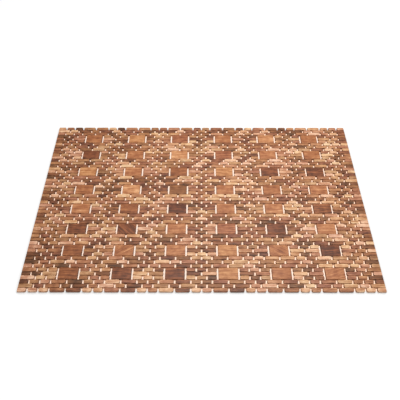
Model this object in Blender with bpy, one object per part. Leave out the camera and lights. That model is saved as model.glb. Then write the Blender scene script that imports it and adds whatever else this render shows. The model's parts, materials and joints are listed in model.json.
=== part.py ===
"""A wooden bath mat: rows of small blocks, strung on cords that run from the front edge to the back.

Metres, +Z up. X runs along the mat and along the grain, Y from the front edge to the back edge, and
the origin is under the middle of the mat. Rows are counted outwards from row 0, the middle one.

Each strip below is one solid that turns on its neighbour: a single row of blocks, or a band of three
rows that the large tiles hold together. A web, as thin as the wood allows, joins the blocks of a
strip in place of the cords, and each strip's origin is on the cord line that it folds about.
"""

import bpy

# Overall sizes
MAT_LENGTH = 0.806  # along X
MAT_WIDTH = 0.500  # the room for rows along Y, which whole rows fill as far as they can
THICKNESS = 0.006

# Rows and the gaps in them
ROW_PITCH = 0.0098  # from one row to the next
ROW_GAP = 0.00055  # clearance between rows, which sets how far a strip can fold
CORD_PITCH = 0.01194  # from one cord to the next. The gaps lie midway between cords
BLOCK_GAP = 0.0040  # between the ends of two blocks
END_BLOCK = 0.0175  # the shortest block at a row's end, measured from the middle of its gap
SHORT_BLOCK = 2  # the shortest block elsewhere, in cord pitches
WEB = 0.0007  # the strip of wood left at the closed end of a gap

# The pattern repeats along X after REPEAT cord pitches. A row has a gap at each pitch that leaves
# one of these remainders, counted from the middle of the mat.
REPEAT = 10
EVEN_ROW_GAPS = (1, 4, 6, 9)
ODD_ROW_GAPS = (0, 2, 5, 8)
TILE_EDGE_GAPS = (1, 3, 7, 9)  # in the first and last row of a tile band
TILE_MIDDLE_GAPS = (0, 3, 7)

# Across the mat, PLAIN_ROWS single rows alternate with a band of TILE_ROWS rows.
PLAIN_ROWS = 3
TILE_ROWS = 3
ROWS_OUT = int(((MAT_WIDTH + ROW_GAP) / ROW_PITCH - 1) / 2)  # on each side of the middle row

ROUGHNESS = 0.55
WOOD_TONES = (
    (0.33, 0.15, 0.085, 1.0),
    (0.52, 0.27, 0.14, 1.0),
    (0.20, 0.085, 0.05, 1.0),
    (0.42, 0.20, 0.11, 1.0),
)


def gaps(remainders):
    """The middles of a row's gaps along X. One due just past the last place for a gap moves in to it,
    unless the block beside it would be too short."""
    last = int((MAT_LENGTH / 2 - END_BLOCK) / CORD_PITCH)
    places = [n for n in range(last + 1) if n % REPEAT in remainders]
    if (last + 1) % REPEAT in remainders and last - max(places) >= SHORT_BLOCK:
        places.append(last)
    return sorted({side * n * CORD_PITCH for n in places for side in (-1, 1)})


def edge(y, notches):
    """One long edge of a strip from left to right, stepping in to the Y that each notch reaches."""
    points = [(-MAT_LENGTH / 2, y)]
    for x, reach in sorted(notches.items()):
        left, right = x - BLOCK_GAP / 2, x + BLOCK_GAP / 2
        points += [(left, y), (left, reach), (right, reach), (right, y)]
    return points + [(MAT_LENGTH / 2, y)]


def row_outline(row, inner, outer):
    """A single row, its gaps open on the side away from the middle of the mat."""
    remainders = ODD_ROW_GAPS if row % 2 else EVEN_ROW_GAPS
    notches = {x: inner + WEB for x in gaps(remainders)}
    return [edge(inner, {}) + edge(outer, notches)[::-1]]


def band_outline(inner, outer):
    """Three rows in one. The slots beside the tiles are the gaps that all its rows share, the first
    and last rows' own gaps are notches that end at the middle row's blocks, and the middle row's are
    holes that end at the blocks on either side of it."""
    middle, beyond, half_gap = ROW_PITCH, 2 * ROW_PITCH, ROW_GAP / 2
    edge_gaps, middle_gaps = gaps(TILE_EDGE_GAPS), gaps(TILE_MIDDLE_GAPS)
    slots = [x for x in edge_gaps if x in middle_gaps]
    near = {x: middle + half_gap for x in edge_gaps if x not in slots}
    far = {x: beyond - half_gap for x in near} | {x: inner + WEB for x in slots}
    holes = [
        [
            (x - BLOCK_GAP / 2, middle - half_gap),
            (x - BLOCK_GAP / 2, beyond + half_gap),
            (x + BLOCK_GAP / 2, beyond + half_gap),
            (x + BLOCK_GAP / 2, middle - half_gap),
        ]
        for x in middle_gaps
        if x not in slots
    ]
    return [edge(inner, near) + edge(outer, far)[::-1]] + holes


def strips_outwards():
    """First and last row of each strip on one side of the middle row. A tile band needs all of its
    rows and one more beyond it."""
    strips, row = [], 1
    while row <= ROWS_OUT:
        starts_band = row % (PLAIN_ROWS + TILE_ROWS) == PLAIN_ROWS // 2 + 1
        rows = TILE_ROWS if starts_band and row + TILE_ROWS <= ROWS_OUT else 1
        strips.append((row, row + rows - 1))
        row += rows
    return strips


def wood(name, tone):
    """A strip's own material."""
    material = bpy.data.materials.new(name)
    material.use_nodes = True
    shader = material.node_tree.nodes["Principled BSDF"]
    shader.inputs["Base Color"].default_value = tone
    shader.inputs["Roughness"].default_value = ROUGHNESS
    shader.inputs["Metallic"].default_value = 0.0
    return material


def plate(name, outlines, side, tone):
    """A flat solid from its outline and holes, with Y turned to the strip's side of the mat."""
    curve = bpy.data.curves.new(name, "CURVE")
    curve.dimensions = "2D"
    curve.fill_mode = "BOTH"
    curve.extrude = THICKNESS / 2
    for outline in outlines:
        spline = curve.splines.new("POLY")
        spline.points.add(len(outline) - 1)
        for point, (x, y) in zip(spline.points, outline):
            point.co = (x, side * y, 0, 1)
        spline.use_cyclic_u = True
    curve.materials.append(wood(name, tone))
    strip = bpy.data.objects.new(name, curve)
    bpy.data.collections["bath_mat"].objects.link(strip)
    return strip


def strip_names(outwards):
    """Each strip's name, with rows and bands numbered from the front edge to the back."""
    order = [(-1, *rows) for rows in outwards[::-1]] + [(0, 0, 0)] + [(1, *rows) for rows in outwards]
    names, rows, bands = {}, 0, 0
    for side, first, last in order:
        if first == last:
            rows += 1
            names[side, first] = f"block_row_{rows:02d}"
        else:
            bands += 1
            names[side, first] = f"tile_band_{bands}"
    return names


def middle_row(names):
    half = (ROW_PITCH - ROW_GAP) / 2
    strip = plate(names[0, 0], row_outline(0, -half, half), 1, WOOD_TONES[0])
    strip.location = (0, 0, THICKNESS / 2)
    return strip


def chain(names, outwards, side, neighbour):
    """The strips on one side of the middle row, each a child of the one before it, with its origin on
    the line midway between them."""
    origin = 0.0
    for index, (first, last) in enumerate(outwards):
        inner, outer = ROW_GAP / 2, (last - first + 1) * ROW_PITCH - ROW_GAP / 2
        outlines = band_outline(inner, outer) if last > first else row_outline(first, inner, outer)
        tone = WOOD_TONES[(index + 1) % len(WOOD_TONES)]
        strip = plate(names[side, first], outlines, side, tone)
        hinge = side * (first - 0.5) * ROW_PITCH
        strip.parent = neighbour
        strip.location = (0, hinge - origin, 0)
        neighbour, origin = strip, hinge


for old in list(bpy.data.objects):
    bpy.data.objects.remove(old)
bpy.context.scene.collection.children.link(bpy.data.collections.new("bath_mat"))

STRIPS = strips_outwards()
NAMES = strip_names(STRIPS)
MIDDLE = middle_row(NAMES)
for SIDE in (-1, 1):
    chain(NAMES, STRIPS, SIDE, MIDDLE)
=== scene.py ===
"""A bath mat of small teak blocks and larger teak tiles, strung on cords that run from front to back."""

import json
import math
import random

import bpy
from mathutils import Matrix, Vector


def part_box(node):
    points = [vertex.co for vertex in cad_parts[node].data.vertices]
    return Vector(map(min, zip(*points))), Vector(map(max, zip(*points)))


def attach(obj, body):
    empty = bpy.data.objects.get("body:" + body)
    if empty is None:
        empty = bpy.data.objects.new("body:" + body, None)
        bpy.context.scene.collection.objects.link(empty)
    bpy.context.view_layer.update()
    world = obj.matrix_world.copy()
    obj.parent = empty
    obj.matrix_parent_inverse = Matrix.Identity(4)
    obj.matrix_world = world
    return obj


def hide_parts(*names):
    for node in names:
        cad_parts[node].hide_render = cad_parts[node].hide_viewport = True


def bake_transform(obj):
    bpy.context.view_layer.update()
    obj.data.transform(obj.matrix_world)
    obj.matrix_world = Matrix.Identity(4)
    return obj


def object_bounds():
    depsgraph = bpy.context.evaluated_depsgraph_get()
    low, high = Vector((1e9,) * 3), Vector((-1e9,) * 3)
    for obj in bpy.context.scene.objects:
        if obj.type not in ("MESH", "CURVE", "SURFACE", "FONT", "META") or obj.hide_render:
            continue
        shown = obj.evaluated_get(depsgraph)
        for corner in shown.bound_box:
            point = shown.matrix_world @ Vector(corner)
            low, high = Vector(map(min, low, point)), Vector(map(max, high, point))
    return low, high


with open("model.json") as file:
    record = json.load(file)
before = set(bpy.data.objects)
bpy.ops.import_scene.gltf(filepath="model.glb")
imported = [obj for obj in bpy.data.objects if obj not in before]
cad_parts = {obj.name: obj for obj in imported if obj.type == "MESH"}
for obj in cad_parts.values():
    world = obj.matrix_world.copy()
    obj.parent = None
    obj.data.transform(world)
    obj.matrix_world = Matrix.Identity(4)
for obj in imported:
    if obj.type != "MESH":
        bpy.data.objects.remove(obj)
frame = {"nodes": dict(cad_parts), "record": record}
CAD_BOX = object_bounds()

# ---- Room ---------------------------------------------------------------------------------------
# The mat lies on a glowing white floor. Its glow is dimmed near the mat as painted shadow, and in the
# gaps its colour and glow are painted warm cream light, as if bounced off the wood. A softbox hangs
# above the mat, a little behind its middle and to the right, and a white backdrop closes the view all
# round.

MAT_LOW, MAT_HIGH = (Vector(corner) for corner in CAD_BOX)
MAT_TOP = MAT_HIGH.z
CAMERA_PLACE = Vector((-0.0038, -0.6430, 0.8918))
CAMERA_AIM = Vector((-0.0039, -0.0042, MAT_TOP))
CAMERA_ROLL = math.radians(0.05)
LENS = 39.27
SENSOR = 36.0
ROOM_WHITE = (1.0, 0.99, 0.97, 1)
ROOM_LIGHT = 0.24

bpy.context.scene.view_settings.view_transform = "Standard"
bpy.context.scene.view_settings.look = "None"

camera_data = bpy.data.cameras.new("camera")
camera_data.lens = LENS
camera_data.sensor_width = SENSOR
camera = bpy.data.objects.new("camera", camera_data)
camera.location = CAMERA_PLACE
aim = (CAMERA_AIM - CAMERA_PLACE).to_track_quat("-Z", "Y").to_matrix()
camera.rotation_euler = (aim @ Matrix.Rotation(CAMERA_ROLL, 3, "Z")).to_euler()
bpy.context.scene.collection.objects.link(camera)
bpy.context.scene.camera = camera

world = bpy.data.worlds.new("room")
world.use_nodes = True
world.node_tree.nodes["Background"].inputs["Color"].default_value = ROOM_WHITE
world.node_tree.nodes["Background"].inputs["Strength"].default_value = ROOM_LIGHT
bpy.context.scene.world = world


def softbox(name, place, size, watts):
    """A square area light, turned to the middle of the mat."""
    light = bpy.data.lights.new(name, "AREA")
    light.size = size
    light.energy = watts
    lamp = bpy.data.objects.new(name, light)
    lamp.location = place
    lamp.rotation_euler = (-Vector(place)).to_track_quat("-Z", "Y").to_euler()
    bpy.context.scene.collection.objects.link(lamp)


softbox("top_softbox", place=(0.26, 0.26, 1.7), size=0.60, watts=31)


class Figure:
    """A shader value. Arithmetic on it adds Math nodes to its material."""

    def __init__(self, finish, socket):
        self.finish, self.socket = finish, socket

    def math(self, operation, *values):
        return self.finish.node("ShaderNodeMath", {"operation": operation}, dict(enumerate(values)))

    def __add__(self, other):
        return self.math("ADD", self, other)

    def __sub__(self, other):
        return self.math("SUBTRACT", self, other)

    def __rsub__(self, other):
        return self.math("SUBTRACT", other, self)

    def __mul__(self, other):
        return self.math("MULTIPLY", self, other)

    def size(self):
        return self.math("ABSOLUTE", self)

    def wave(self, rate):
        """Its sine, after it is multiplied by the rate."""
        return self.math("SINE", self * rate)

    __radd__, __rmul__ = __add__, __mul__


class Finish:
    """A material while it is being made."""

    def __init__(self, name):
        self.material = bpy.data.materials.new(name)
        self.material.use_nodes = True
        self.tree = self.material.node_tree
        self.shader = self.tree.nodes["Principled BSDF"]

    def node(self, kind, settings, values, output=0):
        """Adds a node, with its settings first, and the values or links of its sockets after them."""
        node = self.tree.nodes.new(kind)
        for name, setting in settings.items():
            if name == "stops":
                ramp = node.color_ramp
                for index, (place, colour) in enumerate(setting):
                    stop = ramp.elements[index] if index < 2 else ramp.elements.new(place)
                    stop.position, stop.color = place, colour
            else:
                setattr(node, name, setting)
        for name, value in values.items():
            if isinstance(value, Figure):
                self.tree.links.new(value.socket, node.inputs[name])
            else:
                node.inputs[name].default_value = value
        return Figure(self, node.outputs[output])

    def axes(self, kind):
        """The x, y and z of each point's place on the piece ("Object") or of its "Normal"."""
        vector = self.node("ShaderNodeTexCoord", {}, {}, output=kind)
        return tuple(
            self.node("ShaderNodeSeparateXYZ", {}, {"Vector": vector}, output=axis) for axis in "XYZ")

    def drive(self, socket, figure):
        """Feeds a figure to one of the finish's own sockets."""
        self.tree.links.new(figure.socket, self.shader.inputs[socket])

    def noise(self, place, detail, roughness):
        return self.node("ShaderNodeTexNoise", {}, {
            "Vector": place, "Scale": 1.0, "Detail": detail, "Roughness": roughness})

    def ease(self, value, low, high):
        """0 below the low value, 1 above the high one, and a smooth step between them."""
        return self.node("ShaderNodeMapRange", {"interpolation_type": "SMOOTHSTEP"}, {
            0: value, 1: low, 2: high, 3: 0.0, 4: 1.0})

    def blend(self, kind, share, first, second):
        """Two colours mixed by a share from 0 to 1."""
        return self.node("ShaderNodeMix", {"data_type": "RGBA", "blend_type": kind}, {
            0: share, 6: first, 7: second}, output=2)


# How the floor glows between the blocks, from the narrow gaps to the slots beside the tiles, where the
# warm glow and the cream base colour are painted light, and how it glows around the mat, from its foot
# to the open floor, where the dimmer glow is painted shadow. Each ramp runs from a closed-in place to
# an open one.
GAP_PAINTED_CREAM = (0.72, 0.53, 0.38, 1)
GAP_GLOW = (
    (0.20, (0.42, 0.24, 0.14, 1)),
    (0.33, (0.71, 0.49, 0.37, 1)),
)
FLOOR_WHITE = (0.35, 0.35, 0.35, 1)
FLOOR_GLOW_PAINTED_SHADOW = (
    (0.00, (0.10, 0.10, 0.10, 1)),
    (0.46, (0.45, 0.45, 0.44, 1)),
    (0.76, (0.49, 0.49, 0.49, 1)),
    (1.00, (0.74, 0.74, 0.74, 1)),
)
OPEN_REACH = 0.020  # how far up and around the floor looks for wood
SIDE_REACH = 0.008  # how far it looks along the mat, to tell a gap from the ground beneath a curled mat
FLOOR_SIZE = 9.0
BACKDROP_RADIUS = 4.4
BACKDROP_WHITE = (0.88, 0.88, 0.87, 1)
BLACK = (0, 0, 0, 1)

paint = Finish("sweep_white")
openness = paint.node("ShaderNodeAmbientOcclusion", {"samples": 16}, {"Distance": OPEN_REACH}, output="AO")
along_mat = paint.node("ShaderNodeCombineXYZ", {}, {"X": 1.0, "Y": 0.0, "Z": 0.0})
sideways = paint.node("ShaderNodeAmbientOcclusion", {"samples": 8}, {
    "Distance": SIDE_REACH, "Normal": along_mat}, output="AO")
# Where wood closes the floor in, in the gaps, its colour and glow turn to painted warm light.
between = (1.0 - paint.ease(openness, 0.33, 0.46)) * (1.0 - paint.ease(sideways, 0.58, 0.75))
# The glow dims as wood closes the floor in: painted shadow at the mat's foot and beneath it.
glow = paint.node("ShaderNodeValToRGB", {"stops": FLOOR_GLOW_PAINTED_SHADOW}, {0: openness})
gap_glow = paint.node("ShaderNodeValToRGB", {"stops": GAP_GLOW}, {0: openness})
paint.drive("Base Color", paint.blend("MIX", between, FLOOR_WHITE, GAP_PAINTED_CREAM))
paint.drive("Emission Color", paint.blend("MIX", between, glow, gap_glow))
paint.shader.inputs["Emission Strength"].default_value = 1.0
paint.shader.inputs["Roughness"].default_value = 0.9

bpy.ops.object.select_all(action="DESELECT")
bpy.ops.mesh.primitive_plane_add(size=FLOOR_SIZE)
floor = bpy.context.object
floor.name = "floor"
floor.data.materials.append(paint.material)

backdrop_paint = Finish("backdrop_white")
backdrop_paint.shader.inputs["Base Color"].default_value = BLACK
backdrop_paint.shader.inputs["Emission Color"].default_value = BACKDROP_WHITE
backdrop_paint.shader.inputs["Emission Strength"].default_value = 1.0
bpy.ops.object.select_all(action="DESELECT")
bpy.ops.mesh.primitive_uv_sphere_add(segments=48, ring_count=24, radius=BACKDROP_RADIUS)
backdrop = bpy.context.object
backdrop.name = "backdrop"
backdrop.data.materials.append(backdrop_paint.material)
backdrop.visible_diffuse = backdrop.visible_glossy = backdrop.visible_shadow = False

# ---- Layout -------------------------------------------------------------------------------------
# Every block lies between two gaps of the CAD strip that it belongs to, so the ends of the blocks
# are read off the strips. A strip is a single row or a tile band of three rows.

STRIPS = frame["record"]["behaviour"]["bodies"]
BAND_ROWS = 3
SAME_PLACE = 1e-5  # places closer than this are one


def spans(xs):
    """Where the blocks of a row begin and end, from the sorted places of the gaps' sides."""
    return list(zip(xs[::2], xs[1::2]))


def strip_edges(strip):
    """The X places of a strip's corners: all of them, and those on its outer and its inner edge."""
    low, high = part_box(strip)
    outer, inner = (low.y, high.y) if low.y + high.y < 0 else (high.y, low.y)
    corners = [vertex.co for vertex in frame["nodes"][strip].data.vertices]

    def places(edge):
        return sorted({round(c.x, 5) for c in corners if edge is None or abs(c.y - edge) < SAME_PLACE})

    return places(None), places(outer), places(inner)


def band_layout(strip):
    """The spans of a tile band: its tiles, and the small blocks of its edge rows and middle row."""
    every, outer, inner = strip_edges(strip)
    slots = [x for x in outer if x not in inner]
    middle = sorted(set(every) - set(outer) | set(slots) | {outer[0], outer[-1]})
    tiles = [span for span in spans(outer) if set(span) <= set(slots) and span in spans(middle)]
    edge_row = [span for span in spans(outer) if span not in tiles]
    middle_row = [span for span in spans(middle) if span not in tiles]
    return tiles, edge_row, middle_row


# ---- Teak ---------------------------------------------------------------------------------------
# The wood is plain sawn teak, sanded and oiled, with its grain along the mat. Each block comes from
# another board, so it has its own tone, its own warmth and its own stretch of grain.

# Shades of teak from the darkest heartwood to pale sapwood, and the casts that they take on.
TEAK = (
    (0.00, (0.090, 0.036, 0.018, 1)),
    (0.20, (0.185, 0.072, 0.034, 1)),
    (0.40, (0.315, 0.130, 0.062, 1)),
    (0.60, (0.445, 0.212, 0.110, 1)),
    (0.80, (0.615, 0.340, 0.198, 1)),
    (1.00, (0.820, 0.545, 0.360, 1)),
)
CASTS = (
    (0.00, (0.49, 0.53, 0.42, 1)),
    (0.35, (0.58, 0.50, 0.34, 1)),
    (0.70, (0.58, 0.46, 0.42, 1)),
    (1.00, (0.56, 0.45, 0.50, 1)),
)
CAST_SHARE = 0.70
BOARD_STEPS = (37.0, 91.0, 53.0)  # how far apart the grain of two boards can lie, in its own cycles

# How strongly the growth rings, the fine streaks and the broad clouds in the wood change its tone.
RING_TONE = 0.85
STREAK_TONE = 0.75
CLOUD_TONE = 0.55

# What darkens the wood, and by how much: open pores, sawn end grain and painted shade on the upright
# sides. Worn edges are paler.
PIT_BROWN, PIT_SHARE = (0.45, 0.36, 0.30, 1), 0.55
END_BROWN, END_SHARE = (0.42, 0.34, 0.28, 1), 0.70
SIDE_PAINTED_SHADE, SIDE_SHADE_SHARE = (0.50, 0.42, 0.36, 1), 0.12
WORN_GOLD, WORN_SHARE = (0.50, 0.34, 0.22, 1), 0.22


def teak(name, oil):
    """Sanded teak. Each block's point attribute "cut" holds its tone, cast, board and slope of grain,
    and oil is how the finish tints it."""
    finish = Finish(name)
    cut = finish.node("ShaderNodeAttribute", {"attribute_name": "cut"}, {})
    slope = finish.node("ShaderNodeAttribute", {"attribute_name": "cut"}, {}, output="Alpha")
    tone, cast, board = (
        finish.node("ShaderNodeSeparateColor", {}, {"Color": cut}, output=channel) for channel in range(3))
    x, y, z = finish.axes("Object")
    across = y - x * slope

    def grain(along, wide, deep, detail, roughness, start):
        """Noise drawn out along the grain, in cycles a metre, at the board's own stretch of it."""
        point = finish.node("ShaderNodeCombineXYZ", {}, {
            "X": x * along + board * BOARD_STEPS[0] + start,
            "Y": across * wide + board * BOARD_STEPS[1],
            "Z": z * deep + board * BOARD_STEPS[2]})
        return finish.noise(point, detail, roughness)

    rings = grain(along=20.0, wide=250.0, deep=90.0, detail=3.0, roughness=0.55, start=0.0)
    streaks = grain(along=42.0, wide=800.0, deep=380.0, detail=2.0, roughness=0.6, start=11.0)
    clouds = grain(along=75.0, wide=85.0, deep=60.0, detail=1.0, roughness=0.5, start=37.0)
    pores = grain(along=170.0, wide=2600.0, deep=2600.0, detail=1.0, roughness=0.5, start=23.0)
    shade = tone + (rings - 0.5) * RING_TONE + (streaks - 0.5) * STREAK_TONE
    shade = shade + (clouds - 0.5) * CLOUD_TONE
    colour = finish.node("ShaderNodeValToRGB", {"stops": TEAK}, {0: shade})
    tint = finish.node("ShaderNodeValToRGB", {"stops": CASTS}, {0: cast})
    colour = finish.blend("SOFT_LIGHT", CAST_SHARE, colour, tint)
    colour = finish.blend("MULTIPLY", 1.0, colour, oil)
    pits = finish.ease(pores, 0.60, 0.72)
    colour = finish.blend("MULTIPLY", pits * PIT_SHARE, colour, PIT_BROWN)

    end, side, flat = (part.size() for part in finish.axes("Normal"))
    end_grain = finish.ease(end, 0.20, 0.80)
    colour = finish.blend("MULTIPLY", end_grain * END_SHARE, colour, END_BROWN)
    # Painted shade on the upright front and back faces of each block.
    colour = finish.blend("MULTIPLY", finish.ease(side, 0.70, 1.00) * SIDE_SHADE_SHARE, colour, SIDE_PAINTED_SHADE)
    round_edge = 1.0 - end * end * end - side * side * side - flat * flat * flat
    worn = finish.ease(round_edge * (0.4 + streaks), 0.16, 0.34) * (1.0 - end_grain)
    colour = finish.blend("SCREEN", worn * WORN_SHARE, colour, WORN_GOLD)

    finish.drive("Base Color", colour)
    finish.drive("Roughness", 0.50 + rings * 0.12 + pits * 0.15 + end_grain * 0.15 - worn * 0.10)
    height = rings * 0.5 + streaks * 0.3 - pits * 0.8
    bump = finish.node("ShaderNodeBump", {}, {"Strength": 0.5, "Distance": 0.00012, "Height": height})
    finish.drive("Normal", bump)
    finish.shader.inputs["Specular IOR Level"].default_value = 0.35
    return finish.material


BLOCK_TEAK = teak("block_teak", (1.0, 1.0, 1.0, 1))
TILE_TEAK = teak("tile_teak", (0.94, 0.82, 0.70, 1))


def mark_cut(mesh, tone, warmth, board, slope):
    """Writes one block's cut of wood to all its points."""
    cut = mesh.attributes.get("cut") or mesh.attributes.new("cut", "FLOAT_COLOR", "POINT")
    cut.data.foreach_set("color", (tone, warmth, board, slope) * len(mesh.vertices))


def copy_piece(model, name, move):
    """A copy with its own mesh, moved in the mesh."""
    piece = model.copy()
    piece.data = model.data.copy()
    piece.name = piece.data.name = name
    piece.data.transform(move)
    bpy.context.scene.collection.objects.link(piece)
    return piece


def join_pieces(pieces, name):
    bpy.ops.object.select_all(action="DESELECT")
    for piece in pieces:
        piece.select_set(True)
    bpy.context.view_layer.objects.active = pieces[0]
    bpy.ops.object.join()
    pieces[0].name = pieces[0].data.name = name
    return pieces[0]


# ---- Small blocks -------------------------------------------------------------------------------
# A small block is a teak bar that is cut to two or three cord pitches, with its edges eased and its
# faces sanded a little round. Two or three cords thread it, or one where a row ends in a short block,
# and it sits a little off its place along its row.

ROW_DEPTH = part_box("block_row_01")[1].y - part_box("block_row_01")[0].y
BLOCK_CORNER = 0.0027  # round of an upright edge
EASE = 0.0010  # round of the edges around the top and the underside
CROWN = 0.00008  # how much a top is sanded down at its edge
CROWN_INSET = 0.0009  # how far in from the edge that begins
SMOOTH_ANGLE = math.radians(50)
CORD_PITCH = 0.01194
CORDS_EACH_SIDE = int(MAT_HIGH.x / CORD_PITCH)
CORDS = [(n + 0.5) * CORD_PITCH for n in range(-CORDS_EACH_SIDE, CORDS_EACH_SIDE)]
MOUTH_RADIUS = 0.0016  # a cord hole where it is widened, at the mat's front and back
MOUTH_DEPTH = 0.0030
MOUTH_SIDES = 10
BLOCK_SHIFT = 0.0002  # the most that a block sits off its place in the row
BLOCK_TURN = math.radians(0.25)
BLOCK_TONES = (0.20, 0.32, 0.42, 0.50, 0.58, 0.67, 0.82)
PALER_RIGHT = 0.10  # gain in tone for each metre to the right
TONE_SPREAD = 0.06
GRAIN_SLOPE = 0.06
wood_lot = random.Random(11)

# The tone and the warmth of the boards that are picked out for the front row and for the tiles.
TONES = {
    "darkest": (0.10, 0.7),
    "dark": (0.20, 0.6),
    "brown": (0.34, 0.5),
    "olive": (0.34, 0.0),
    "red": (0.44, 0.85),
    "mid": (0.50, 0.5),
    "grey": (0.56, 0.9),
    "orange": (0.57, 0.55),
    "honey": (0.68, 0.35),
    "pale": (0.72, 0.5),
    "rose": (0.76, 0.9),
    "cream": (0.84, 0.6),
}
# The front row's boards, from left to right.
FRONT_TONES = (
    "rose", "rose", "cream", "brown", "dark", "cream", "pale", "grey", "darkest", "cream",
    "orange", "pale", "dark", "cream", "rose", "mid", "dark", "pale", "rose", "brown",
    "brown", "cream", "orange", "mid", "mid", "pale", "cream", "cream",
)


def round_edges(bar, offset, rounds, chosen):
    """Bevels the bar's edges whose two end points pass the test. The bar is in edit mode."""
    bpy.ops.mesh.select_all(action="DESELECT")
    bpy.ops.object.mode_set(mode="OBJECT")
    for edge in bar.data.edges:
        edge.select = chosen(*(bar.data.vertices[point].co for point in edge.vertices))
    bpy.ops.object.mode_set(mode="EDIT")
    bpy.ops.mesh.bevel(offset=offset, segments=rounds, affect="EDGES")


def eased_bar(name, length, depth, height, corners, rounds):
    """A bar at the origin with eased edges and a faint crown on its top. Its upright edges have their
    own round at its left end and at its right end, or none where that is 0."""
    bpy.ops.object.select_all(action="DESELECT")
    bpy.ops.mesh.primitive_cube_add(size=1, scale=(length, depth, height))
    bar = bpy.context.object
    bar.name = name
    bpy.ops.object.mode_set(mode="EDIT")
    bpy.ops.mesh.select_mode(type="EDGE")
    for end, corner in zip((-1, 1), corners):
        if corner:
            round_edges(bar, corner, rounds, lambda a, b: abs(b.z - a.z) > SAME_PLACE and b.x * end > 0)
    top_height = height / 2 - SAME_PLACE
    round_edges(bar, EASE, rounds, lambda a, b: abs(b.z - a.z) < SAME_PLACE and abs(b.z) > top_height)
    bpy.ops.mesh.select_mode(type="FACE")
    bpy.ops.mesh.select_all(action="DESELECT")
    bpy.ops.object.mode_set(mode="OBJECT")
    for face in bar.data.polygons:
        face.select = face.normal.z > 0.999
    bpy.ops.object.mode_set(mode="EDIT")
    bpy.ops.mesh.inset(thickness=CROWN_INSET)
    bpy.ops.object.mode_set(mode="OBJECT")
    for point in bar.data.vertices:
        if point.co.z > top_height and not point.select:
            point.co.z -= CROWN
    bpy.ops.object.shade_smooth_by_angle(angle=SMOOTH_ANGLE)
    return bar


def bore(bar, places, face):
    """Widens the cord holes at the given places along a bar's front (-1) or back (1) face."""
    for place in places:
        bpy.ops.object.select_all(action="DESELECT")
        bpy.ops.mesh.primitive_cylinder_add(
            vertices=MOUTH_SIDES, radius=MOUTH_RADIUS, depth=2 * MOUTH_DEPTH,
            location=(place, face * ROW_DEPTH / 2, 0), rotation=(math.radians(90), 0, 0))
        drill = bpy.context.object
        hole = bar.modifiers.new("hole", "BOOLEAN")
        hole.object, hole.solver = drill, "EXACT"
        bpy.context.view_layer.objects.active = bar
        bpy.ops.object.modifier_apply(modifier=hole.name)
        bpy.data.objects.remove(drill)


MODELS = {}


def block_model(length, corners, places, face):
    """The model for blocks of one length, one pair of end corners and one set of open cord holes, made
    when first needed."""
    key = (round(length, 5), corners, face, *(round(place, 4) for place in places))
    if key not in MODELS:
        model = eased_bar(f"block_model_{len(MODELS)}", key[0], ROW_DEPTH, MAT_TOP, corners, 2)
        bore(model, places, face)
        model.data.materials.append(BLOCK_TEAK)
        MODELS[key] = model
    return MODELS[key]


def lay_row(name, row_spans, y, body, face=0, tones=()):
    """Lays one row of small blocks end to end, each from another board unless its tone is given. The
    mat's sides are sawn, so the blocks there stay put and have square outer corners. The cord holes
    are open on the front (-1) or back (1) face of a row at the mat's edge."""
    blocks = []
    for index, (left, right) in enumerate(row_spans):
        sawn = (left < MAT_LOW.x + SAME_PLACE, right > MAT_HIGH.x - SAME_PLACE)
        corners = tuple(0 if cut else BLOCK_CORNER for cut in sawn)
        shift = 0 if any(sawn) else wood_lot.uniform(-BLOCK_SHIFT, BLOCK_SHIFT)
        turn = 0 if any(sawn) else wood_lot.uniform(-BLOCK_TURN, BLOCK_TURN)
        middle = (left + right) / 2
        place = Matrix.Translation((middle + shift, y, MAT_TOP / 2)) @ Matrix.Rotation(turn, 4, "Z")
        holes = [x - middle for x in CORDS if face and left + MOUTH_RADIUS < x < right - MOUTH_RADIUS]
        block = copy_piece(block_model(right - left, corners, holes, face), f"{name}_{index}", place)
        tone, warmth = wood_lot.choice(BLOCK_TONES) + PALER_RIGHT * middle, wood_lot.random()
        if tones:
            tone, warmth = TONES[tones[index]]
        tone += wood_lot.uniform(-TONE_SPREAD, TONE_SPREAD)
        mark_cut(block.data, tone, warmth, wood_lot.random(), wood_lot.uniform(-GRAIN_SLOPE, GRAIN_SLOPE))
        blocks.append(block)
    row = join_pieces(blocks, name)
    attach(row, body)
    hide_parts(body)


for strip in STRIPS:
    if strip.startswith("block_row"):
        low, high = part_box(strip)
        face = (high.y > MAT_HIGH.y - SAME_PLACE) - (low.y < MAT_LOW.y + SAME_PLACE)
        tones = FRONT_TONES if face < 0 else ()
        lay_row(f"{strip}_blocks", spans(strip_edges(strip)[0]), (low.y + high.y) / 2, strip, face, tones)

# ---- Tile bands ---------------------------------------------------------------------------------
# A band is three rows deep. Its tiles are as deep as the band, with a slot left on either side of
# each, and small blocks fill its three rows between them.

TILE_CORNERS = (0.0022, 0.0022)
TILE_SLOPE = 0.05
# The tiles' boards, with a line for each band from front to back.
TILE_TONES = (
    ("brown", "dark", "dark", "honey", "mid", "orange"),
    ("brown", "mid", "orange", "honey", "mid", "darkest"),
    ("dark", "dark", "orange", "red", "dark", "orange"),
    ("orange", "brown", "darkest", "orange", "orange", "brown"),
    ("mid", "pale", "olive", "orange", "mid", "orange"),
    ("honey", "orange", "brown", "honey", "dark", "dark"),
    ("dark", "orange", "pale", "red", "orange", "mid"),
    ("mid", "honey", "red", "mid", "pale", "mid"),
)
# How the grain slopes on the tiles that were cut across it.
DIAGONAL = {
    "tile_band_1_tile_6": 0.25,
    "tile_band_2_tile_2": 0.6,
    "tile_band_2_tile_5": -0.6,
    "tile_band_3_tile_2": -0.9,
}

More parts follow.
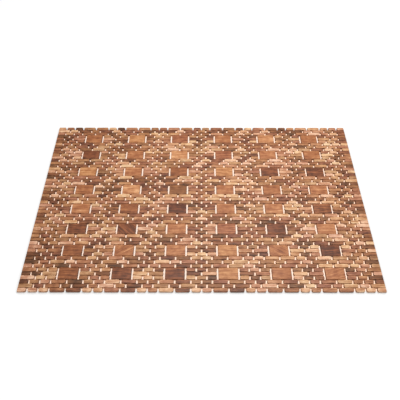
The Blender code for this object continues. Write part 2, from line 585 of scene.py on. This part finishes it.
bands = [strip for strip in STRIPS if strip.startswith("tile_band")]
for band, tones in zip(bands, TILE_TONES):
    low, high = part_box(band)
    row_pitch = (high.y - low.y - ROW_DEPTH) / (BAND_ROWS - 1)
    tiles, edge_row, middle_row = band_layout(band)
    for row in range(BAND_ROWS):
        row_spans = middle_row if row == BAND_ROWS // 2 else edge_row
        y = low.y + ROW_DEPTH / 2 + row * row_pitch
        lay_row(f"{band}_row_{row + 1}_blocks", row_spans, y, band)
    for number, ((left, right), tone) in enumerate(zip(tiles, tones), start=1):
        tile = eased_bar(f"{band}_tile_{number}", right - left, high.y - low.y, MAT_TOP, TILE_CORNERS, 3)
        tile.data.transform(Matrix.Translation(((left + right) / 2, (low.y + high.y) / 2, MAT_TOP / 2)))
        tile.data.materials.append(TILE_TEAK)
        slope = wood_lot.uniform(-TILE_SLOPE, TILE_SLOPE) + DIAGONAL.get(tile.name, 0)
        mark_cut(tile.data, *TONES[tone], wood_lot.random(), slope)
        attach(tile, band)
        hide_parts(band)

for model in MODELS.values():
    bpy.data.objects.remove(model)

# ---- Cords --------------------------------------------------------------------------------------
# Tan polyester cords, one at each cord pitch, run from front to back through the middle of the wood
# and hold it all together. They have extra rings of points only where two strips meet, which is where
# the mat folds.

CORD_RADIUS = 0.0009
CORD_SIDES = 8
CORD_BEND = 0.0012  # how far a bend reaches on each side of a fold
BEND_CUTS = (-1, -0.4, 0.4, 1)  # where a cord has a ring of points, as shares of its bend
BRAID = 2600.0  # radians of the braid's wave in each metre of cord
BRAID_SLANT = 0.8
STRAND_TAN = (0.56, 0.43, 0.29, 1)
STRAND_GROOVE_DARK = (0.20, 0.13, 0.08, 1)


def polyester():
    """Braided cord: two sets of strands cross over it, and it is darker between them."""
    finish = Finish("tan_cord")
    x, y, z = finish.axes("Object")
    round_cord = x + z
    strands = [(y + round_cord * slant).wave(BRAID) for slant in (-BRAID_SLANT, BRAID_SLANT)]
    braid = strands[0] * strands[1]
    # The colour is darker where the strands dip between each other.
    colour = finish.blend("MIX", finish.ease(braid, -0.6, 0.5), STRAND_GROOVE_DARK, STRAND_TAN)
    finish.drive("Base Color", colour)
    finish.drive("Roughness", 0.82 - braid * 0.08)
    bump = finish.node("ShaderNodeBump", {}, {"Strength": 0.6, "Distance": 0.00015, "Height": braid})
    finish.drive("Normal", bump)
    finish.shader.inputs["Sheen Weight"].default_value = 0.2
    return finish.material


TAN_CORD = polyester()
LINE = sorted(STRIPS, key=lambda strip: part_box(strip)[0].y)


def repeat_along(model):
    """One of the model for each cord, the first being where the model is."""
    copies = model.modifiers.new("cords", "ARRAY")
    copies.use_relative_offset = False
    copies.use_constant_offset = True
    copies.constant_offset_displace = (CORD_PITCH, 0, 0)
    copies.count = len(CORDS)
    bpy.context.view_layer.objects.active = model
    bpy.ops.object.modifier_apply(modifier=copies.name)


def lay_cords(name, front, back):
    """Lays the cords from the middle of one strip to the middle of the next one, with extra rings at the
    fold.
    """
    start, end = (sum((corner.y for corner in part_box(strip)), 0.0) / 2 for strip in (front, back))
    fold = (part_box(front)[1].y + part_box(back)[0].y) / 2
    bpy.ops.object.select_all(action="DESELECT")
    bpy.ops.mesh.primitive_cylinder_add(
        vertices=CORD_SIDES, radius=CORD_RADIUS, depth=end - start,
        location=(CORDS[0], (start + end) / 2, MAT_TOP / 2), rotation=(math.radians(90), 0, 0))
    cords = bpy.context.object
    bpy.ops.object.transform_apply()
    bpy.ops.object.mode_set(mode="EDIT")
    for share in BEND_CUTS:
        bpy.ops.mesh.select_all(action="SELECT")
        bpy.ops.mesh.bisect(plane_co=(0, fold + share * CORD_BEND, 0), plane_no=(0, 1, 0))
    bpy.ops.object.mode_set(mode="OBJECT")
    bpy.ops.object.shade_smooth_by_angle(angle=SMOOTH_ANGLE)
    repeat_along(cords)
    cords.name = cords.data.name = name
    cords.data.materials.append(TAN_CORD)
    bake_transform(cords)


for number, (front, back) in enumerate(zip(LINE, LINE[1:]), start=1):
    lay_cords(f"cords_{number:02d}", front, back)

# ---- Cord ends ----------------------------------------------------------------------------------
# Each cord is cut off just inside the front and the back edge and melted into a flat button, which
# is wider than the cord hole and sits in its widened mouth.

BUTTON_RADIUS = 0.0013
BUTTON_RECESS = 0.0005
BUTTON_HEIGHT = 0.0007
BUTTON_RIM = 0.00035
BUTTON_DISH = 0.00050
BUTTON_SMOOTH = math.radians(60)


def melt_ends(name, strip, edge, face):
    """Melts the cord ends in the front (-1) or back (1) face, which lies at the edge's Y. Each end is
    a straight neck, which flares into the button's wall, with a sloping rim and a dished middle."""
    flare, wall, slope, dish = (face * BUTTON_HEIGHT * share for share in (0.3, 0.5, 0.2, -0.3))
    neck = MOUTH_DEPTH - BUTTON_RECESS - BUTTON_HEIGHT
    bpy.ops.object.select_all(action="DESELECT")
    bpy.ops.mesh.primitive_cylinder_add(
        vertices=CORD_SIDES, radius=CORD_RADIUS, depth=neck, rotation=(math.radians(90), 0, 0),
        location=(CORDS[0], edge - face * (MOUTH_DEPTH - neck / 2), MAT_TOP / 2))
    ends = bpy.context.object
    bpy.ops.object.transform_apply()
    for cap in ends.data.polygons:
        cap.select = cap.normal.y * face > 0.9
    wider = BUTTON_RADIUS / CORD_RADIUS
    bpy.ops.object.mode_set(mode="EDIT")
    bpy.ops.mesh.extrude_region_move(TRANSFORM_OT_translate={"value": (0, flare, 0)})
    bpy.ops.transform.resize(value=(wider, 1, wider))
    bpy.ops.mesh.extrude_region_move(TRANSFORM_OT_translate={"value": (0, wall, 0)})
    bpy.ops.mesh.inset(thickness=BUTTON_RIM)
    bpy.ops.transform.translate(value=(0, slope, 0))
    bpy.ops.mesh.inset(thickness=BUTTON_DISH)
    bpy.ops.transform.translate(value=(0, dish, 0))
    bpy.ops.object.mode_set(mode="OBJECT")
    bpy.ops.object.shade_smooth_by_angle(angle=BUTTON_SMOOTH)
    repeat_along(ends)
    ends.name = ends.data.name = name
    ends.data.materials.append(TAN_CORD)
    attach(ends, strip)


melt_ends("front_cord_ends", LINE[0], edge=MAT_LOW.y, face=-1)
melt_ends("back_cord_ends", LINE[-1], edge=MAT_HIGH.y, face=1)
